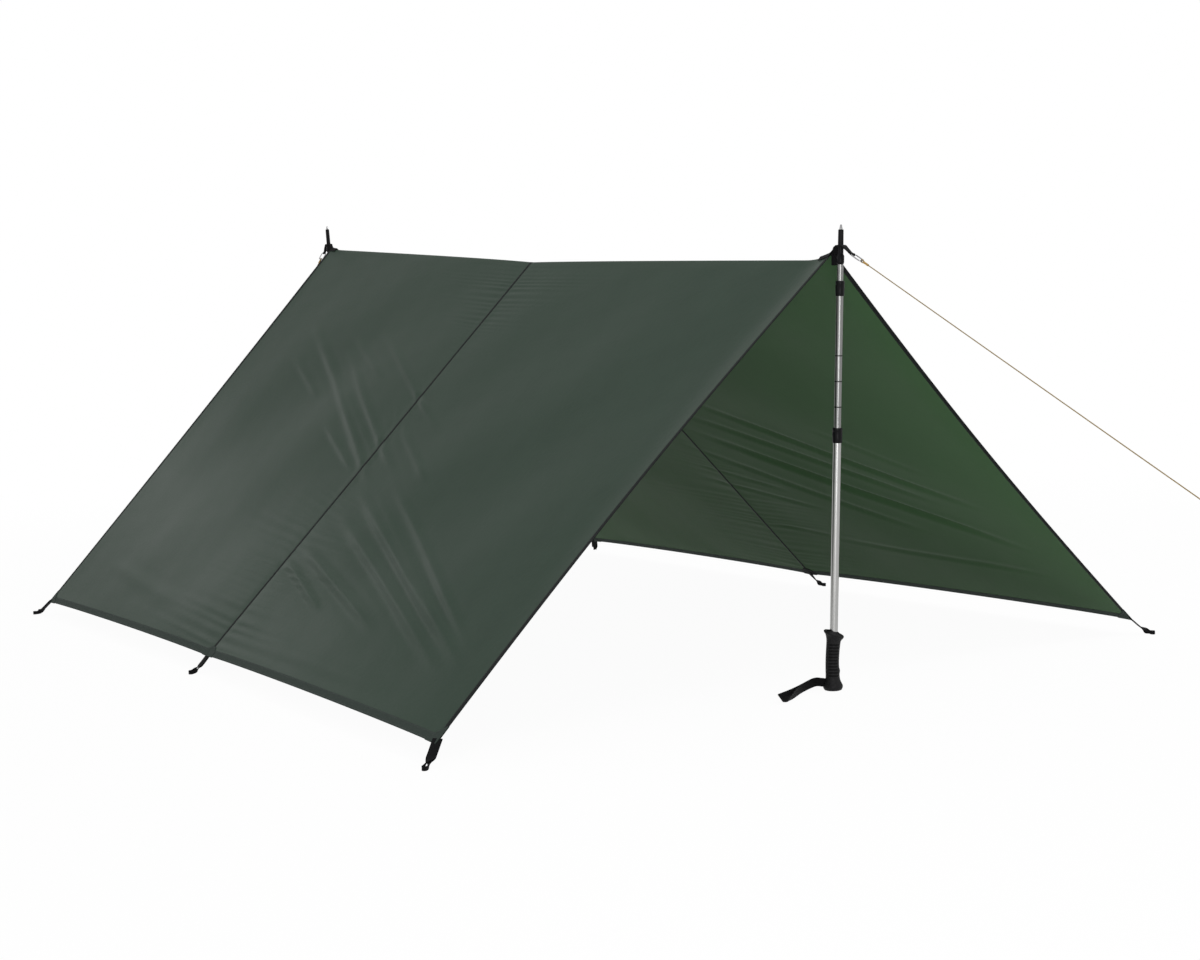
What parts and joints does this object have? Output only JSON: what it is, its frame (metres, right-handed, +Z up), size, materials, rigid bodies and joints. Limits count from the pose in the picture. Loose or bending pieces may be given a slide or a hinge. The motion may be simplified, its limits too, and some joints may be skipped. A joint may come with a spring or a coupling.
{
  "type": "camping tarp",
  "caption": "Ridge tarp pitched as an A-shaped shelter on trekking poles that stand on their grips, with taut ridge guy lines and webbing ground loops.",
  "frame": {"origin": "on the ground, under the middle of the pitched tarp without its guy lines", "axes": "+X along the ridge towards the open front with the lower pole, +Y towards the far slope, +Z up"},
  "size_m": [4.4323, 2.1988, 1.2062],
  "materials": {
    "cloth": "coated, faintly shiny",
    "tape": "matte woven tape",
    "webbing": "matte woven webbing",
    "cord": "braided cord",
    "aluminium": "satin anodised",
    "steel": "satin",
    "plastic": "moulded",
    "rubber": "moulded, ribbed"
  },
  "bodies": {
    "canopy": {"front_near_panel": "cloth", "front_far_panel": "cloth", "rear_near_panel": "cloth", "rear_far_panel": "cloth", "centre_seam": "tape", "front_gable_binding": "tape", "rear_gable_binding": "tape", "near_hem_tape": "tape", "far_hem_tape": "tape", "near_mid_patch": "webbing", "far_mid_patch": "webbing", "front_near_patch": "tape", "front_far_patch": "tape", "rear_near_patch": "tape", "rear_far_patch": "tape", "front_near_loop": "webbing", "front_far_loop": "webbing", "rear_near_loop": "webbing", "rear_far_loop": "webbing", "mid_near_loop": "webbing", "mid_far_loop": "webbing", "front_ridge_webbing": "webbing", "front_eyelet": "plastic", "front_link": "steel", "front_line_eye": "cord", "front_guy_line": "cord", "front_end_loop": "cord", "rear_ridge_webbing": "webbing", "rear_eyelet": "plastic", "rear_link": "steel", "rear_line_eye": "cord", "rear_guy_line": "cord", "rear_end_loop": "cord"},
    "front_lower_section": {"front_pole_tip": "steel", "front_pole_ferrule": "plastic", "front_lower_tube": "aluminium", "front_lower_lock_stud": "plastic"},
    "front_lower_lock": {"front_lower_lock_plug": "plastic"},
    "front_middle_section": {"front_middle_tube": "aluminium", "front_middle_collar": "plastic", "front_middle_lock_stud": "plastic"},
    "front_middle_lock": {"front_middle_lock_plug": "plastic"},
    "front_upper_section": {"front_upper_tube": "aluminium", "front_upper_collar": "plastic", "front_grip": "rubber", "front_wrist_strap": "webbing"},
    "rear_lower_section": {"rear_pole_tip": "steel", "rear_pole_ferrule": "plastic", "rear_lower_tube": "aluminium", "rear_lower_lock_stud": "plastic"},
    "rear_lower_lock": {"rear_lower_lock_plug": "plastic"},
    "rear_middle_section": {"rear_middle_tube": "aluminium", "rear_middle_collar": "plastic", "rear_middle_lock_stud": "plastic"},
    "rear_middle_lock": {"rear_middle_lock_plug": "plastic"},
    "rear_upper_section": {"rear_upper_tube": "aluminium", "rear_upper_collar": "plastic", "rear_grip": "rubber", "rear_wrist_strap": "webbing"}
  },
  "joints": [
    {"name": "front_pole_lean", "type": "hinge", "parent": "canopy", "child": "front_lower_section", "pos_m": [1.28665, 0, 1.01456], "axis": [0, 1, 0], "range_deg": [-8, 8]},
    {"name": "front_lower_lock_turn", "type": "hinge", "parent": "front_lower_section", "child": "front_lower_lock", "pos_m": [1.28665, 0, 1.01456], "axis": [0.0495, 0, 0.9988], "range_deg": [0, 90]},
    {"name": "front_lower_slide", "type": "slide", "parent": "front_lower_lock", "child": "front_middle_section", "axis": [0.0495, 0, 0.9988], "range_m": [0, 0.025]},
    {"name": "front_middle_lock_turn", "type": "hinge", "parent": "front_middle_section", "child": "front_middle_lock", "pos_m": [1.28665, 0, 1.01456], "axis": [0.0495, 0, 0.9988], "range_deg": [0, 90]},
    {"name": "front_middle_slide", "type": "slide", "parent": "front_middle_lock", "child": "front_upper_section", "axis": [0.0495, 0, 0.9988], "range_m": [0, 0.28]},
    {"name": "rear_pole_lean", "type": "hinge", "parent": "canopy", "child": "rear_lower_section", "pos_m": [-1.26947, 0, 1.14384], "axis": [0, 1, 0], "range_deg": [-4, 8]},
    {"name": "rear_lower_lock_turn", "type": "hinge", "parent": "rear_lower_section", "child": "rear_lower_lock", "pos_m": [-1.26947, 0, 1.14384], "axis": [-0.1045, 0, 0.9945], "range_deg": [0, 90]},
    {"name": "rear_lower_slide", "type": "slide", "parent": "rear_lower_lock", "child": "rear_middle_section", "axis": [-0.1045, 0, 0.9945], "range_m": [0, 0.155]},
    {"name": "rear_middle_lock_turn", "type": "hinge", "parent": "rear_middle_section", "child": "rear_middle_lock", "pos_m": [-1.26947, 0, 1.14384], "axis": [-0.1045, 0, 0.9945], "range_deg": [0, 90]},
    {"name": "rear_middle_slide", "type": "slide", "parent": "rear_middle_lock", "child": "rear_upper_section", "axis": [-0.1045, 0, 0.9945], "range_m": [0, 0.28]}
  ]
}
